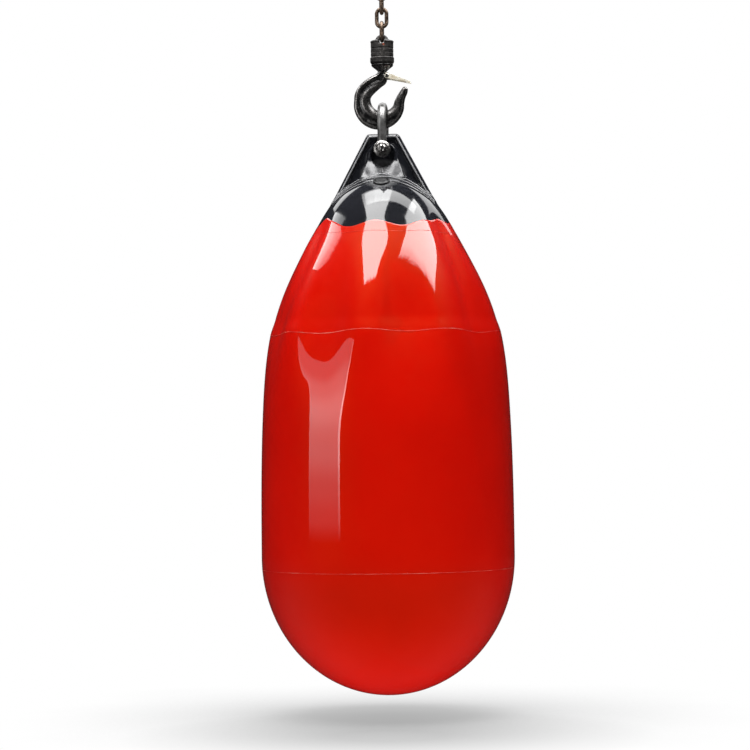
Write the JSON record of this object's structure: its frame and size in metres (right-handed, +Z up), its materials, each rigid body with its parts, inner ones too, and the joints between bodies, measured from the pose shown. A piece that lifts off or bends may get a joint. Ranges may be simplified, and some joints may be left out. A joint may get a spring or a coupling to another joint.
{
  "type": "hanging water-filled heavy bag",
  "caption": "Teardrop water-filled punching bag hung by a shackle from a crane hook, a ball-bearing swivel and a short chain under a bolted ceiling plate.",
  "frame": {"origin": "centre of the ceiling plate's top face, the face that meets the ceiling", "axes": "+Z up along the hanging line, so the bag is at -Z; the hook and the ear lie in the XZ plane with the hook's open side at +X; the camera's side, with the fill valve and the shackle pin's head, is -Y"},
  "size_m": [0.4579, 0.458, 1.318],
  "materials": {
    "plate_paint": "satin",
    "eye_steel": "oxidised",
    "weld_bead": "as welded",
    "chain_steel": "oxidised, bronze brown",
    "swivel_steel": "oxidised, bronze brown",
    "screw_steel": "rusted",
    "bearing_steel": "ground",
    "nut_steel": "zinc plated",
    "hook_steel": "forged, oxidised",
    "latch_zinc": "passivated zinc",
    "spring_steel": "bright",
    "shackle_steel": "galvanised, worn",
    "head_black": "gloss",
    "shell_red": "gloss vinyl",
    "water": "clear",
    "valve_black": "satin",
    "seal_rubber": "matt"
  },
  "bodies": {
    "ceiling": {"ceiling_plate": "plate_paint", "ceiling_eye": "eye_steel", "eye_welds": "weld_bead"},
    "link_1": {"link_a": "chain_steel"},
    "link_2": {"link_b": "chain_steel"},
    "link_3": {"link_c": "chain_steel"},
    "link_4": {"link_d": "chain_steel"},
    "swivel": {"swivel_eye": "swivel_steel", "swivel_set_screw": "screw_steel", "swivel_band": "swivel_steel", "swivel_cup": "swivel_steel", "race_lower": "bearing_steel", "thrust_balls": "bearing_steel"},
    "hook": {"hook": "hook_steel", "race_upper": "bearing_steel", "shank_nut": "nut_steel", "roll_pin": "spring_steel", "latch_rivet": "latch_zinc"},
    "latch": {"latch": "latch_zinc", "latch_spring": "spring_steel"},
    "shackle": {"shackle_bow": "shackle_steel", "shackle_pin": "shackle_steel"},
    "bag": {"bag_head": "head_black", "bag_body": "shell_red", "water_fill": "water", "valve_body": "valve_black"},
    "plug": {"valve_plug": "valve_black", "valve_seal": "seal_rubber"}
  },
  "joints": [
    {"name": "link_1_swing", "type": "hinge", "parent": "ceiling", "child": "link_1", "pos_m": [0, 0, -0.03215], "axis": [0, 1, 0], "range_deg": [-15, 15]},
    {"name": "link_2_swing", "type": "hinge", "parent": "link_1", "child": "link_2", "pos_m": [0, 0, -0.05615], "axis": [1, 0, 0], "range_deg": [-15, 15]},
    {"name": "link_3_swing", "type": "hinge", "parent": "link_2", "child": "link_3", "pos_m": [0, 0, -0.08135], "axis": [0, 1, 0], "range_deg": [-15, 15]},
    {"name": "link_4_swing", "type": "hinge", "parent": "link_3", "child": "link_4", "pos_m": [0, 0, -0.10655], "axis": [1, 0, 0], "range_deg": [-15, 15]},
    {"name": "swivel_swing", "type": "hinge", "parent": "link_4", "child": "swivel", "pos_m": [0, 0, -0.13175], "axis": [0, 1, 0], "range_deg": [-15, 15]},
    {"name": "hook_turn", "type": "hinge", "parent": "swivel", "child": "hook", "pos_m": [0, 0, -0.168], "axis": [0, 0, 1], "continuous": true},
    {"name": "latch_swing", "type": "hinge", "parent": "hook", "child": "latch", "pos_m": [0.0094, 0, -0.1963], "axis": [0, 1, 0], "range_deg": [0, 52], "stiffness_Nm_per_rad": 0.05, "springref_deg": -34.38},
    {"name": "shackle_swing", "type": "hinge", "parent": "hook", "child": "shackle", "pos_m": [0, 0, -0.2715], "axis": [1, 0, 0], "range_deg": [-25, 25]},
    {"name": "bag_swing", "type": "hinge", "parent": "shackle", "child": "bag", "pos_m": [0, 0, -0.331], "axis": [0, 1, 0], "range_deg": [-20, 20]},
    {"name": "plug_draw", "type": "slide", "parent": "bag", "child": "plug", "axis": [0, -0.4848, 0.8746], "range_m": [0, 0.018]}
  ]
}
